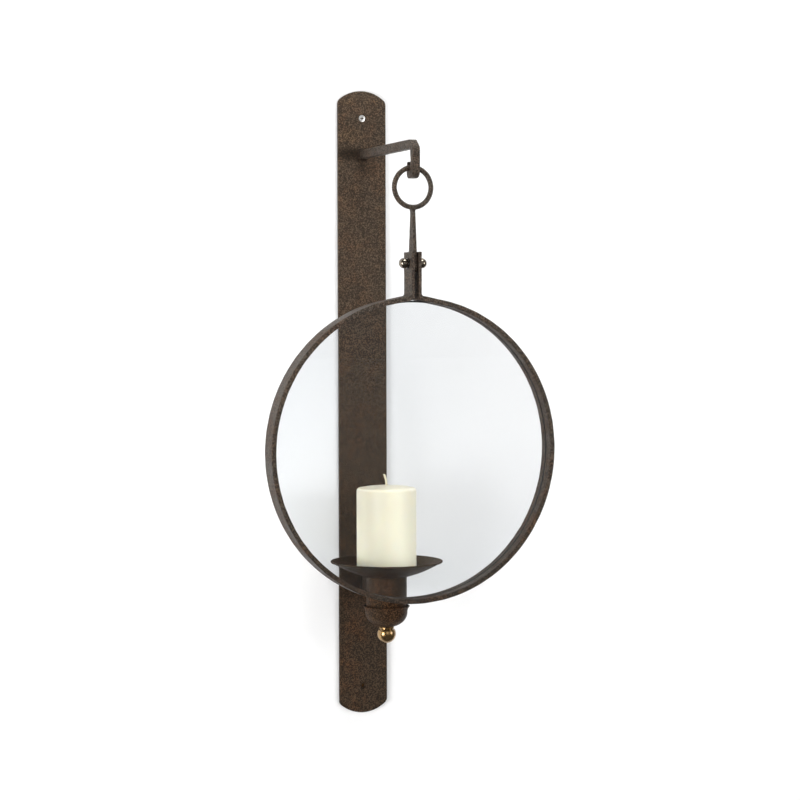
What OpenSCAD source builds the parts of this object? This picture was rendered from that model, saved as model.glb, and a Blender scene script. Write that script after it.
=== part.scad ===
// Wall sconce: a strap plate with a hook arm, a hung glass hoop and a pillar candle holder.
// X runs to the right, Y into the wall and Z up. The origin is the centre of the plate's back face.

/* [Back plate] */
// Width of the strap plate
plate_w = 63; // [50:1:80]
// Overall height of the strap plate
plate_h = 771; // [740:1:800]
// Thickness of the strap plate
plate_t = 4; // [3:0.5:6]
// Radius of the arc at each end
plate_end_r = 45; // [42:1:60]
// Height of each screw hole above or below the centre
screw_z = 352; // [340:1:360]
// Diameter of the screw holes
screw_hole_d = 5; // [4.5:0.1:5.4]
// Diameter of the countersink at the front face
screw_head_d = 8.8; // [8:0.1:9.4]

/* [Hook arm] */
// Width of the bar
bar_w = 9.4; // [7:0.1:9.6]
// Height of the top face of the arm
arm_top_z = 312.6; // [300:0.1:320]
// Distance from the wall to the front face of the hook's leg
leg_front = 176; // [174:0.5:180]

/* [Ring and stem] */
// Distance from the wall to the plane that the ring and the hoop hang in
hang_y = 164.5; // [163:0.5:166]
// Outside diameter of the hanging ring
ring_d = 52; // [50:1:54]
// Diameter of the ring's round bar
ring_bar_d = 6; // [5:0.1:6.2]
// Height of the ring's centre
ring_z = 257; // [255:0.5:258]
// Width of the stem at its lower end
stem_w = 16; // [12:0.5:18]
// Thickness of the stem at its lower end
stem_t = 4.2; // [3:0.1:4.3]

/* [Glass hoop] */
// Outside diameter of the hoop
hoop_d = 357.2; // [350:0.2:358]
// Radial thickness of the hoop's flat bar
hoop_t = 5.6; // [4.8:0.1:6]
// Depth of the flat bar from front to back
hoop_depth = 25; // [22:0.5:26]
// Height of the hoop's centre
hoop_z = -49.6; // [-50:0.1:-46]
// Thickness of each ear at the split
ear_t = 3.6; // [3:0.1:4.5]
// Gap between the two ears
ear_gap = 5.2; // [4.6:0.1:6]
// Height of the top of the ears
ear_top_z = 182; // [180:0.5:184]
// Height of the pin through the ears
pin_z = 168.9; // [167:0.1:170]
// Diameter of the pin
pin_d = 5; // [4:0.1:6]
// Thickness of the glass disc
glass_t = 3; // [2:0.1:3.5]
// Distance from the wall to the middle of the glass
glass_y = 163.1; // [162:0.1:166]

/* [Candle holder] */
// Distance from the wall to the candle's axis
candle_y = 80; // [78:0.5:82]
// Outside radius of the drip pan
pan_r = 67.9; // [60:0.1:69]
// Height of the drip pan's rim
pan_rim_z = -187.4; // [-190:0.1:-187]
// Depth of the drip pan
pan_depth = 18.9; // [16:0.1:20]
// Sheet thickness of the drip pan
pan_t = 1.6; // [1.2:0.1:2]
// Radius of the support tube
tube_r = 24.3; // [22:0.1:24.4]
// Wall of the support tube
tube_wall = 1.8; // [1.2:0.1:2.5]
// Radius of the bowl of the cup
cup_r = 25.5; // [25.4:0.1:26.5]
// Radius of the lip of the cup
cup_lip_r = 28.2; // [27.6:0.1:29.5]
// Height of the underside of the cup
cup_bottom_z = -268; // [-270:0.5:-266]
// Radius of the ball finial
finial_r = 11.5; // [10.5:0.1:13]

/* [Candle] */
// Radius of the pillar candle
candle_r = 36.1; // [35:0.1:38]
// Height of the upper edge of the candle
candle_top_z = -98.9; // [-130:0.1:-90]
// Rise of the candle's top above its edge
candle_crown = 3; // [2:0.1:4]
// Diameter of the wick
wick_d = 3.2; // [2:0.1:3.5]
// Length of wick that stands out of the wax
wick_out = 13.8; // [8:0.1:16]

/* [Hidden] */

$fn = 96;
reach = 1;                                  // how far a cutter runs past the face it opens

// plate
end_fillet_r = 8;                           // small radius where each end arc meets the sides
screw_hole_r = screw_hole_d / 2;
screw_head_r = screw_head_d / 2;
sink_depth = (screw_head_r - screw_hole_r) / tan(41);

// hook arm, measured out from the wall (u) and up (z)
arm_h = 10.6;                               // height of the horizontal run
arm_bottom_z = arm_top_z - arm_h;
leg_t = 8.2;                                // thickness of the leg from front to rear
leg_back = leg_front - leg_t;               // rear face of the leg
saddle_z = 276.2;                           // lowest point of the inside of the hook
saddle_r = 3.3;                             // tight inside bend that the ring hangs in
hook_under_z = 267.4;                       // underside of the hook
corner_cut = 9.8;                           // cut across the outside corner at the top of the leg
corner_r = 6;                               // bends at each end of that cut
hook_out_r = 8.5;                           // outside bends at the foot of the hook
tip_back = 152.2;                           // rear face of the upturned tip
tip_t = 4.2;                                // thickness of the tip at its root
tip_top_z = 287.6;
tip_w = 4.6;                                // width of the bar at the tip

// candle arm
candle_arm_w = 6;
candle_arm_top_z = -211;
candle_arm_h = 20;
tenon_h = 14;

// wall screw
neck_r = 2.3;                               // plain part inside the plate
shank_r = 2.1;                              // part that bites into the wall
shank_out = 26;                             // how far the point stands behind the plate
point_len = 6;

// ring and stem
ring_bar_r = ring_bar_d / 2;
ring_mid_r = ring_d / 2 - ring_bar_r;
stem_top_w = 7.2;
stem_top_t = 3.6;
stem_end_z = 159;
stem_top_z = ring_z - ring_mid_r;           // middle of the ring's bar at its lowest point
pin_r = pin_d / 2;
running = 0.05;                             // radial play of the stem on the pin

// hoop
hoop_r = hoop_d / 2;
hoop_in_r = hoop_r - hoop_t;
groove_depth = 2;
gasket_side = 1;                            // rubber on each side of the glass
groove_w = glass_t + 2 * gasket_side;
glass_r = hoop_in_r + groove_depth - 0.8;
ear_x = ear_gap / 2 + ear_t;                // outer face of an ear
hoop_end_a = 11.5;                          // slope of the straight ends that rise to the ears
hoop_end_d = hoop_r * cos(1);               // distance of the ends' outer face from the hoop's centre
ear_root_z = hoop_z + (hoop_end_d - hoop_t) / cos(hoop_end_a) + 0.5; // within the bar's thickness
ear_fillet_r = 3;

// ball nuts
nut_r = 6.1;
nut_flange_r = 6.3;
nut_flange_t = 1.4;
nut_ball_x = ear_x + 4.9;                   // centre of the ball
nut_bore_end = ear_x + 5;

// candle holder
pan_flat_r = 26;                            // flat middle of the pan
pan_floor_z = pan_rim_z - pan_depth;        // underside of the flat middle
pan_bow = 1.8;                              // how far the sloping side bows out below a straight cone
pan_lip_r = 1.1;                            // rolled bar round the rim
pan_side_w = pan_r - pan_lip_r - pan_flat_r;
rod_r = 3;
rod_head_r = 8;
rod_head_h = 2.2;
cup_t = 1.2;
cup_bowl_h = 18;                            // height of the bowl below its flare
cup_flare_r = 12.2;                         // bend of the flare, at the middle of the sheet
cup_lip_bar_r = 0.95;                       // bead round the lip
tube_bottom_z = -247.6;
collar_r = 9.2;
collar_t = 2.6;
finial_seat_r = 10;                         // flat on the ball, against the collar
finial_z = cup_bottom_z - collar_t - sqrt(finial_r * finial_r - finial_seat_r * finial_seat_r);
candle_foot_r = 2;
candle_gap = 0.2;                           // the candle stands just clear of the pan's side
candle_bottom_z = pan_floor_z + pan_t + pan_rise(candle_r - candle_foot_r + 0.6) + candle_gap;
wick_sunk = 20;

// Height of the pan's sloping side above its flat middle, at radius r
function pan_rise(r) =
    let (s = (r - pan_flat_r) / pan_side_w) (pan_depth - pan_t) * s - pan_bow * sin(180 * s);

// Points along an arc of radius r about [cx, cy], from angle a0 to a1
function arc_points(cx, cy, r, a0, a1, steps = 10) =
    [for (i = [0 : steps]) let (a = a0 + (a1 - a0) * i / steps) [cx + r * cos(a), cy + r * sin(a)]];

// Points down one face of the cup's bowl: a quarter ellipse of height h, from bore_r out to radius r
function bowl_points(r, h, bore_r, a0, a1, steps = 18) =
    [for (i = [0 : steps]) let (a = a0 + (a1 - a0) * i / steps)
        [bore_r + (r - bore_r) * cos(a), cup_bottom_z + cup_bowl_h - h * sin(a)]];

// Stand a drawing of [x, z] up and give it a thickness that runs out from the wall
module upright(depth, from_wall = 0) {
    translate([0, -from_wall, 0]) rotate([90, 0, 0]) linear_extrude(depth) children();
}

// Stand a drawing of [distance from the wall, z] up and give it a width along X, about the centre
module side_view(width) {
    rotate([90, 0, -90]) linear_extrude(width, center = true) children();
}

// Move to the candle's axis
module on_candle_axis() {
    translate([0, -candle_y, 0]) children();
}

// Move to the hanging plane and lay a round shape's axis along Y
module hung(z, from_wall = hang_y) {
    translate([0, -from_wall, z]) rotate([90, 0, 0]) children();
}

module plate_end() {
    fillet_x = plate_w / 2 - end_fillet_r;
    fillet_d = plate_end_r - end_fillet_r;
    rise = sqrt(fillet_d * fillet_d - fillet_x * fillet_x);
    arc_z = plate_h / 2 - plate_end_r;
    intersection() {
        translate([0, arc_z]) circle(plate_end_r);
        polygon([[0, arc_z], [2 * fillet_x, arc_z + 2 * rise], [-2 * fillet_x, arc_z + 2 * rise]]);
    }
    for (side = [-1, 1]) translate([side * fillet_x, arc_z + rise]) circle(end_fillet_r);
    translate([-plate_w / 2, 0]) square([plate_w, arc_z + rise]);
}

module screw_hole() {
    rotate([90, 0, 0]) translate([0, 0, -reach]) cylinder(r = screw_hole_r, h = plate_t + 2 * reach);
    rotate([90, 0, 0]) translate([0, 0, plate_t - sink_depth])
        cylinder(r1 = screw_hole_r, r2 = screw_head_r, h = sink_depth);
    rotate([90, 0, 0]) translate([0, 0, plate_t]) cylinder(r = screw_head_r, h = reach);
}

module back_plate() {
    color("#4d3f37") difference() {
        upright(plate_t) {
            plate_end();
            mirror([0, 1]) plate_end();
        }
        for (side = [-1, 1]) translate([0, 0, side * screw_z]) screw_hole();
        translate([-bar_w / 2, -plate_t - reach, arm_bottom_z]) cube([bar_w, plate_t + 2 * reach, arm_h]);
        translate([-candle_arm_w / 2, -plate_t - reach, candle_arm_top_z - candle_arm_h / 2 - tenon_h / 2])
            cube([candle_arm_w, plate_t + 2 * reach, tenon_h]);
    }
}

// The bent bar seen from the side, without its upturned tip
module arm_and_leg() {
    polygon(concat(
        [[0, arm_bottom_z], [0, arm_top_z]],
        arc_points(leg_front - corner_cut - corner_r * tan(22.5), arm_top_z - corner_r, corner_r, 90, 45, 4),
        arc_points(leg_front - corner_r, arm_top_z - corner_cut - corner_r * tan(22.5), corner_r, 45, 0, 4),
        [[leg_front, saddle_z + saddle_r], [leg_back, saddle_z + saddle_r]],
        [[leg_back, arm_bottom_z]]
    ));
}

// The foot of the hook and its tip seen from the side
module hook_foot() {
    ramp_end = tip_back + tip_t + 2;
    polygon(concat(
        [[leg_front, saddle_z + saddle_r]],
        arc_points(leg_front - hook_out_r, hook_under_z + hook_out_r, hook_out_r, 0, -90),
        arc_points(tip_back + hook_out_r, hook_under_z + hook_out_r, hook_out_r, -90, -180),
        [[tip_back + 0.6, tip_top_z], [tip_back + tip_t - 0.8, tip_top_z]],
        [[tip_back + tip_t, saddle_z + 4]],
        arc_points(ramp_end, saddle_z + 3.4, 2, 180, 262, 5),
        arc_points(leg_back - saddle_r, saddle_z + saddle_r, saddle_r, 262, 360, 6)
    ));
}

// The hook's foot seen from above: full width at the leg and drawn down to the tip
module hook_taper() {
    polygon([
        [leg_front + 1, bar_w / 2], [leg_back - 4, bar_w / 2], [tip_back - 1, tip_w / 2],
        [tip_back - 1, -tip_w / 2], [leg_back - 4, -bar_w / 2], [leg_front + 1, -bar_w / 2]
    ]);
}

module hook_arm() {
    color("#5a4f48") {
        side_view(bar_w) arm_and_leg();
        intersection() {
            side_view(bar_w) hook_foot();
            translate([0, 0, hook_under_z - reach]) rotate([0, 0, -90])
                linear_extrude(tip_top_z - hook_under_z + 2 * reach) hook_taper();
        }
    }
}

module candle_arm() {
    color("#5a4f48") difference() {
        union() {
            translate([-candle_arm_w / 2, -candle_y, candle_arm_top_z - candle_arm_h])
                cube([candle_arm_w, candle_y - plate_t, candle_arm_h]);
            translate([-candle_arm_w / 2, -plate_t - reach, candle_arm_top_z - candle_arm_h / 2 - tenon_h / 2])
                cube([candle_arm_w, plate_t + reach, tenon_h]);
        }
        on_candle_axis() translate([0, 0, candle_arm_top_z - candle_arm_h - reach])
            cylinder(r = tube_r, h = candle_arm_h + 2 * reach);
    }
}

module wall_screw() {
    color("silver") translate([0, -plate_t, screw_z]) rotate([-90, 0, 0]) difference() {
        union() {
            cylinder(r1 = screw_head_r, r2 = screw_hole_r, h = sink_depth);
            cylinder(r = neck_r, h = plate_t);
            cylinder(r = shank_r, h = plate_t + shank_out - point_len);
            translate([0, 0, plate_t + shank_out - point_len]) cylinder(r1 = shank_r, r2 = 0.3, h = point_len);
        }
        for (turn = [0, 90]) rotate([0, 0, turn]) translate([-2.4, -0.55, -reach]) cube([4.8, 1.1, reach + 1.5]);
    }
}

module ring_solid() {
    hung(ring_z) rotate_extrude() translate([ring_mid_r, 0]) circle(ring_bar_r, $fn = 48);
}

module hanging_ring() {
    color("#5a4f48") ring_solid();
}

module ring_stem() {
    color("#5a4f48") difference() {
        intersection() {
            side_view(stem_t + 2) polygon([
                [hang_y - stem_top_w / 2, stem_top_z], [hang_y + stem_top_w / 2, stem_top_z],
                [hang_y + stem_w / 2, pin_z + 8], [hang_y + stem_w / 2, stem_end_z + 2],
                [hang_y + stem_w / 2 - 2, stem_end_z], [hang_y - stem_w / 2 + 2, stem_end_z],
                [hang_y - stem_w / 2, stem_end_z + 2], [hang_y - stem_w / 2, pin_z + 8]
            ]);
            upright(stem_w + 2, hang_y - stem_w / 2 - 1) polygon([
                [-stem_top_t / 2, stem_top_z], [stem_top_t / 2, stem_top_z],
                [stem_t / 2, pin_z + 8], [stem_t / 2, stem_end_z],
                [-stem_t / 2, stem_end_z], [-stem_t / 2, pin_z + 8]
            ]);
        }
        ring_solid();
        translate([0, -hang_y, pin_z]) rotate([0, 90, 0])
            cylinder(r = pin_r + running, h = stem_t + 2 * reach, center = true);
    }
}

// One ear with the fillet at its foot, on the +X side
module ear() {
    ear_h = ear_top_z - ear_root_z;
    foot_z = hoop_z + (hoop_end_d - (ear_x + ear_fillet_r) * sin(hoop_end_a)) / cos(hoop_end_a);
    translate([ear_gap / 2, -hang_y - hoop_depth / 2, ear_root_z]) cube([ear_t, hoop_depth, ear_h]);
    difference() {
        translate([ear_gap / 2 + 1, -hang_y - hoop_depth / 2, ear_root_z])
            cube([ear_t - 1 + ear_fillet_r, hoop_depth, foot_z - ear_root_z + ear_fillet_r]);
        translate([ear_x + ear_fillet_r, -hang_y, foot_z + ear_fillet_r]) rotate([90, 0, 0])
            cylinder(r = ear_fillet_r, h = hoop_depth + 2 * reach, center = true, $fn = 48);
    }
}

// A disc whose top rises to a low point along two straight slopes, each face at distance d
module peaked_disc(r, d, depth) {
    cylinder(r = r, h = depth, center = true, $fn = 192);
    linear_extrude(depth, center = true) polygon([
        [0, d / cos(hoop_end_a)], [d * sin(hoop_end_a), d * cos(hoop_end_a)],
        [0, r / 2], [-d * sin(hoop_end_a), d * cos(hoop_end_a)]
    ]);
}

module hoop() {
    color("#55483f") difference() {
        union() {
            hung(hoop_z) difference() {
                peaked_disc(hoop_r, hoop_end_d, hoop_depth);
                peaked_disc(hoop_in_r, hoop_end_d - hoop_t, hoop_depth + 2 * reach);
            }
            ear();
            mirror([1, 0, 0]) ear();
        }
        hung(hoop_z, glass_y) cylinder(r = hoop_in_r + groove_depth, h = groove_w, center = true, $fn = 192);
        translate([-ear_gap / 2, -hang_y - hoop_depth / 2 - reach, hoop_z + hoop_in_r - 3])
            cube([ear_gap, hoop_depth + 2 * reach, ear_top_z - hoop_z - hoop_in_r + 4]);
        translate([0, -hang_y, pin_z]) rotate([0, 90, 0])
            cylinder(r = pin_r + running, h = 2 * ear_x + 2 * reach, center = true);
    }
}

module glass_disc() {
    color("#e8f1f4", 0.35) hung(hoop_z, glass_y) cylinder(r = glass_r, h = glass_t, center = true, $fn = 192);
}

module glass_gasket() {
    color("#141312") hung(hoop_z, glass_y) difference() {
        cylinder(r = hoop_in_r + groove_depth, h = groove_w, center = true, $fn = 192);
        cylinder(r = glass_r, h = glass_t, center = true, $fn = 192);
        cylinder(r = hoop_in_r, h = groove_w + 2 * reach, center = true, $fn = 192);
    }
}

module pivot_pin() {
    color("#6e6259") translate([0, -hang_y, pin_z]) rotate([0, 90, 0])
        cylinder(r = pin_r, h = 2 * nut_bore_end, center = true);
}

// A ball nut on the +X side, with its flange against the ear
module ball_nut() {
    translate([0, -hang_y, pin_z]) rotate([0, 90, 0]) difference() {
        union() {
            translate([0, 0, ear_x]) cylinder(r = nut_flange_r, h = nut_flange_t);
            intersection() {
                translate([0, 0, nut_ball_x]) sphere(nut_r);
                translate([0, 0, ear_x]) cylinder(r = nut_r + 1, h = 2 * nut_r);
            }
        }
        translate([0, 0, ear_x - reach]) cylinder(r = pin_r + running, h = nut_bore_end - ear_x + reach);
    }
}

module ball_nut_left() {
    color("#a8875a") mirror([1, 0, 0]) ball_nut();
}

module ball_nut_right() {
    color("#a8875a") ball_nut();
}

module drip_pan() {
    side_steps = 8;
    color("#55483f") on_candle_axis() rotate_extrude($fn = 128) {
        polygon(concat(
            [[rod_r + 0.2, pan_floor_z]],
            [for (i = [0 : side_steps]) let (r = pan_flat_r + pan_side_w * i / side_steps)
                [r, pan_floor_z + pan_rise(r)]],
            [for (i = [side_steps : -1 : 0]) let (r = pan_flat_r + pan_side_w * i / side_steps)
                [r, pan_floor_z + pan_t + pan_rise(r)]],
            [[rod_r + 0.2, pan_floor_z + pan_t]]
        ));
        translate([pan_r - pan_lip_r, pan_rim_z - pan_lip_r]) circle(pan_lip_r, $fn = 32);
    }
}

module candle_tube() {
    color("#4d423b") on_candle_axis() translate([0, 0, tube_bottom_z]) difference() {
        cylinder(r = tube_r, h = pan_floor_z - tube_bottom_z);
        translate([0, 0, -reach]) cylinder(r = tube_r - tube_wall, h = pan_floor_z - tube_bottom_z + 2 * reach);
    }
}

module cup() {
    bore_r = rod_r + 0.2;
    half_t = cup_t / 2;
    flare_z = cup_bottom_z + cup_bowl_h;
    flare_x = cup_r + cup_flare_r - half_t;
    flare_a = acos((flare_x + cup_lip_bar_r - cup_lip_r) / cup_flare_r);
    bead_a = acos(half_t / cup_lip_bar_r);
    trim_a = atan(cup_lip_bar_r * sin(bead_a) / cup_flare_r);
    color("#55483f") on_candle_axis() rotate_extrude($fn = 96) polygon(concat(
        bowl_points(cup_r, cup_bowl_h, bore_r, 90, 0),
        arc_points(flare_x, flare_z, cup_flare_r - half_t, 179, 180 - flare_a + trim_a, 6),
        arc_points(flare_x - cup_flare_r * cos(flare_a), flare_z + cup_flare_r * sin(flare_a),
            cup_lip_bar_r, -flare_a - bead_a, 180 - flare_a + bead_a, 14),
        arc_points(flare_x, flare_z, cup_flare_r + half_t, 180 - flare_a + trim_a, 179, 6),
        bowl_points(cup_r - cup_t, cup_bowl_h - cup_t, bore_r, 0, 90)
    ));
}

module tie_rod() {
    head_z = pan_floor_z + pan_t;
    rod_bottom_z = finial_z - 4;
    head_ball_r = (rod_head_r * rod_head_r + rod_head_h * rod_head_h) / (2 * rod_head_h);
    color("#8d8578") on_candle_axis() {
        translate([0, 0, rod_bottom_z]) cylinder(r = rod_r, h = head_z - rod_bottom_z + 0.5);
        intersection() {
            translate([0, 0, head_z + rod_head_h - head_ball_r]) sphere(head_ball_r);
            translate([0, 0, head_z]) cylinder(r = rod_head_r + 1, h = rod_head_h + 1);
        }
    }
}

module finial_collar() {
    edge = collar_t / 2;
    color("#a8875a") on_candle_axis() translate([0, 0, cup_bottom_z - collar_t]) rotate_extrude() {
        translate([rod_r + running, 0]) square([collar_r - edge - rod_r - running, collar_t]);
        translate([collar_r - edge, edge]) intersection() {
            circle(edge, $fn = 32);
            translate([0, -edge]) square([edge, collar_t]);
        }
    }
}

module ball_finial() {
    top_z = cup_bottom_z - collar_t;
    color("#a8875a") on_candle_axis() difference() {
        intersection() {
            translate([0, 0, finial_z]) sphere(finial_r);
            translate([0, 0, finial_z - finial_r - 1]) cylinder(r = finial_r + 1, h = top_z - finial_z + finial_r + 1);
        }
        translate([0, 0, finial_z - 4]) cylinder(r = rod_r + running, h = 2 * finial_r);
    }
}

module candle() {
    edge_r = 3;
    crown_r = ((candle_r - edge_r) * (candle_r - edge_r) + candle_crown * candle_crown) / (2 * candle_crown);
    crown_a = acos((candle_r - edge_r) / crown_r);
    color("#efe9d8") on_candle_axis() rotate_extrude($fn = 128) polygon(concat(
        [[wick_d / 2, candle_top_z - wick_sunk], [0, candle_top_z - wick_sunk], [0, candle_bottom_z]],
        arc_points(candle_r - candle_foot_r, candle_bottom_z + candle_foot_r, candle_foot_r, -90, 0, 4),
        arc_points(candle_r - edge_r, candle_top_z - edge_r, edge_r, 0, 90, 6),
        [for (i = [1 : 5]) let (r = (candle_r - edge_r) * (1 - i / 5) + wick_d / 2 * i / 5)
            [r, candle_top_z + candle_crown - crown_r + sqrt(crown_r * crown_r - r * r)]]
    ));
}

module wick() {
    color("#f3efe4") on_candle_axis() translate([0, 0, candle_top_z - wick_sunk])
        cylinder(r = wick_d / 2, h = wick_sunk + candle_crown + wick_out, $fn = 24);
}

back_plate();
hook_arm();
candle_arm();
wall_screw();
hanging_ring();
ring_stem();
hoop();
glass_disc();
glass_gasket();
pivot_pin();
ball_nut_left();
ball_nut_right();
drip_pan();
candle_tube();
cup();
tie_rod();
finial_collar();
ball_finial();
candle();
wick();
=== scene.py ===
"""Looks of the wall sconce candle holder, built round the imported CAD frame.

X runs to the right, Y into the wall and Z up. Sizes below are in millimetres unless a name says otherwise.
"""

import math

import bmesh
import bpy
from mathutils import Matrix, Vector, noise


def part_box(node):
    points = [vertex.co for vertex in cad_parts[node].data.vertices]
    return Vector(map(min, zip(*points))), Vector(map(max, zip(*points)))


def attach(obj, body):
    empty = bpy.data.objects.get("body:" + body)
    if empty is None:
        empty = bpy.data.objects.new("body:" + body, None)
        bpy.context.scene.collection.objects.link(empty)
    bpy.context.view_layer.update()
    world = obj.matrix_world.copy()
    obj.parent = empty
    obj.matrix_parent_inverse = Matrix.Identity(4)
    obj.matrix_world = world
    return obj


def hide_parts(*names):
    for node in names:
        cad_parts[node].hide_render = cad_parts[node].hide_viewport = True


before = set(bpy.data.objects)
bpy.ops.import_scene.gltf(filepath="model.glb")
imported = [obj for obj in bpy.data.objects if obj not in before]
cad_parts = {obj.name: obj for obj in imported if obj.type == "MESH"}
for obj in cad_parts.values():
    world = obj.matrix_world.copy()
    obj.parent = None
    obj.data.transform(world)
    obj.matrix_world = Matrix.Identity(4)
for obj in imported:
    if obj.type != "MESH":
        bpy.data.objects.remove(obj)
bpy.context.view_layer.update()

MM = 0.001

# ---------------------------------------- sizes taken from the frame


def node_box(node):
    """Lowest and highest corners of a CAD node, in millimetres."""
    lo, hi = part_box(node)
    return Vector(lo) / MM, Vector(hi) / MM


plate_lo, plate_hi = node_box("back_plate")
hook_lo, hook_hi = node_box("hook_arm")
arm_lo, arm_hi = node_box("candle_arm")
ring_lo, ring_hi = node_box("hanging_ring")
stem_lo, stem_hi = node_box("ring_stem")
hoop_lo, hoop_hi = node_box("hoop")
glass_lo, glass_hi = node_box("glass_disc")
gasket_lo, gasket_hi = node_box("glass_gasket")
pin_lo, pin_hi = node_box("pivot_pin")
nut_lo, nut_hi = node_box("ball_nut_right")
pan_lo, pan_hi = node_box("drip_pan")
tube_lo, tube_hi = node_box("candle_tube")
cup_lo, cup_hi = node_box("cup")
rod_lo, rod_hi = node_box("tie_rod")
collar_lo, collar_hi = node_box("finial_collar")
ball_lo, ball_hi = node_box("ball_finial")
candle_lo, candle_hi = node_box("candle")
wick_lo, wick_hi = node_box("wick")

PLATE_FRONT = plate_lo.y
HANG_Y = (ring_lo.y + ring_hi.y) / 2
CANDLE_Y = (candle_lo.y + candle_hi.y) / 2
PIN_Z = (pin_lo.z + pin_hi.z) / 2
PIN_R = (pin_hi.z - pin_lo.z) / 2

# ---------------------------------------- plain geometry helpers


def arc(cx, cy, r, a0, a1, steps):
    """Points on an arc, both ends included. Angles are in degrees."""
    angles = [math.radians(a0 + (a1 - a0) * i / steps) for i in range(steps + 1)]
    return [(cx + r * math.cos(a), cy + r * math.sin(a)) for a in angles]


def circle(r, steps):
    """Points round a circle about the origin."""
    angles = [2 * math.pi * k / steps for k in range(steps)]
    return [(r * math.cos(a), r * math.sin(a)) for a in angles]


def resample(points, steps):
    """The same polyline as steps + 1 points at even distances."""
    spans = [math.dist(a, b) for a, b in zip(points, points[1:])]
    total = sum(spans)
    out = []
    for i in range(steps + 1):
        left = total * i / steps
        k = 0
        while k < len(spans) - 1 and left > spans[k]:
            left -= spans[k]
            k += 1
        f = min(1.0, left / spans[k]) if spans[k] else 0.0
        out.append(tuple(a + (b - a) * f for a, b in zip(points[k], points[k + 1])))
    return out


def rounded(corners, steps=4, closed=True):
    """A polygon of (x, y, radius) corners with each corner bent to its radius."""
    out = []
    n = len(corners)
    for i, (x, y, r) in enumerate(corners):
        if r <= 0 or (not closed and i in (0, n - 1)):
            out.append((x, y))
            continue
        p = Vector((x, y))
        back = Vector(corners[i - 1][:2]) - p
        ahead = Vector(corners[(i + 1) % n][:2]) - p
        half = back.angle(ahead) / 2
        cut = min(r / math.tan(half), back.length * 0.49, ahead.length * 0.49)
        a, b = p + back.normalized() * cut, p + ahead.normalized() * cut
        for k in range(steps + 1):
            t = k / steps
            out.append(tuple(a * (1 - t) ** 2 + p * (2 * t * (1 - t)) + b * t**2))
    return out


def bar_section(w, h, r, per_side=3, per_corner=3):
    """A rounded rectangle, w by h about the origin, with points along its sides."""
    out = []
    x, y = w / 2, h / 2
    corners = [(x - r, y - r, 0), (-x + r, y - r, 90), (-x + r, -y + r, 180), (x - r, -y + r, 270)]
    for i, (cx, cy, a) in enumerate(corners):
        bend = arc(cx, cy, r, a, a + 90, per_corner)
        nx, ny, na = corners[(i + 1) % 4]
        target = arc(nx, ny, r, na, na + 90, per_corner)[0]
        out += bend
        for k in range(1, per_side):
            t = k / per_side
            out.append((bend[-1][0] * (1 - t) + target[0] * t, bend[-1][1] * (1 - t) + target[1] * t))
    return out


def loft(loops, closed=False):
    """Vertices and faces through a row of loops with equal counts, capped unless closed."""
    n = len(loops[0])
    verts = [p for loop in loops for p in loop]
    faces = []
    for i in range(len(loops) if closed else len(loops) - 1):
        a, b = i * n, (i + 1) % len(loops) * n
        for j in range(n):
            k = (j + 1) % n
            faces.append((a + j, a + k, b + k, b + j))
    if not closed:
        faces.append(tuple(range(n)))
        faces.append(tuple(reversed(range(len(verts) - n, len(verts)))))
    return verts, faces


def lathe(outline, place, steps=96, closed=True):
    """Spins an outline of (radius, height) points. place puts (x, y, height) into the frame."""
    n = len(outline)
    verts, faces = [], []
    for s in range(steps):
        a = 2 * math.pi * s / steps
        verts += [place(r * math.cos(a), r * math.sin(a), h) for r, h in outline]
    for s in range(steps):
        a, b = s * n, (s + 1) % steps * n
        for j in range(n if closed else n - 1):
            k = (j + 1) % n
            faces.append((a + j, a + k, b + k, b + j))
    return verts, faces


def on_candle(x, y, h):
    return (x, CANDLE_Y + y, h)


def make_mesh(name, verts, faces):
    """A clean mesh object, from points in millimetres."""
    bm = bmesh.new()
    made = [bm.verts.new(Vector(v) * MM) for v in verts]
    for face in faces:
        bm.faces.new([made[i] for i in face])
    bmesh.ops.remove_doubles(bm, verts=bm.verts, dist=2e-6)
    bmesh.ops.delete(bm, geom=[edge for edge in bm.edges if not edge.link_faces], context="EDGES")
    bmesh.ops.recalc_face_normals(bm, faces=bm.faces)
    mesh = bpy.data.meshes.new(name)
    bm.to_mesh(mesh)
    bm.free()
    obj = bpy.data.objects.new(name, mesh)
    bpy.context.scene.collection.objects.link(obj)
    return obj


def carve(obj, cutters):
    """Cuts closed meshes, given as (verts, faces), out of a piece."""
    tools = [make_mesh("cutter", *shape) for shape in cutters]
    for tool in tools:
        cut = obj.modifiers.new("cut", "BOOLEAN")
        cut.operation, cut.solver, cut.object = "DIFFERENCE", "EXACT", tool
    replace_mesh(obj)
    for tool in tools:
        bpy.data.meshes.remove(tool.data)


def replace_mesh(obj):
    """Applies a piece's modifiers to its mesh."""
    depsgraph = bpy.context.evaluated_depsgraph_get()
    made = bpy.data.meshes.new_from_object(obj.evaluated_get(depsgraph))
    obj.modifiers.clear()
    old, name = obj.data, obj.data.name
    obj.data = made
    bpy.data.meshes.remove(old)
    made.name = name


def hammer(obj, depth, size, seed):
    """Sinks the surface unevenly by up to depth, in dents about size across."""
    offset = Vector((seed * 7.3, seed * 3.1, seed * 5.7))
    moves = []
    for v in obj.data.vertices:
        level = noise.noise(v.co / (size * MM) + offset)
        moves.append(v.normal * (-depth * MM * min(1.0, max(0.0, 1.6 * level))))
    for v, move in zip(obj.data.vertices, moves):
        v.co += move


def finish_piece(obj, material, body, nodes=(), sharp=38.0):
    """Smooths, paints and places a piece on its body."""
    mesh = obj.data
    mesh.shade_smooth()
    mesh.set_sharp_from_angle(angle=math.radians(sharp))
    mesh.materials.clear()
    mesh.materials.append(material)
    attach(obj, body)
    if nodes:
        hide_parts(*nodes)
    return obj


# ---------------------------------------- materials


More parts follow.
